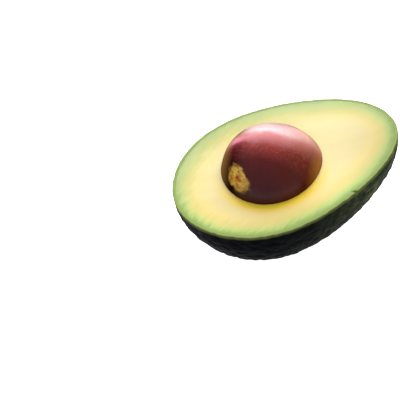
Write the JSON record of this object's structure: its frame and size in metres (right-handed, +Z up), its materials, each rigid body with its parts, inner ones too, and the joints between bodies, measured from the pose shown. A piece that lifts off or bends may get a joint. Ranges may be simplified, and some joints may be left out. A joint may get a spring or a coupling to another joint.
{
  "type": "avocado half with its stone",
  "caption": "Avocado cut lengthways: a half lying on its pebbly dark peel, with pale green flesh round a brown stone that stands out of the cut face.",
  "frame": {"origin": "on the table, under the middle of the object's box", "axes": "+X along the fruit towards its narrower neck end, +Y across the cut face, +Z up, square to the cut face"},
  "size_m": [0.0984, 0.07, 0.0533],
  "materials": {
    "peel": "near-black green avocado peel, pebbled, with a slight waxy gloss",
    "flesh": "moist cut avocado flesh, cream in the middle, yellow at the stone and green under the peel",
    "stone": "smooth wet seed coat, dark reddish brown, finely mottled, with a pale scar"
  },
  "bodies": {
    "root": {"peel": "peel", "flesh": "flesh", "stone": "stone"}
  },
  "joints": []
}
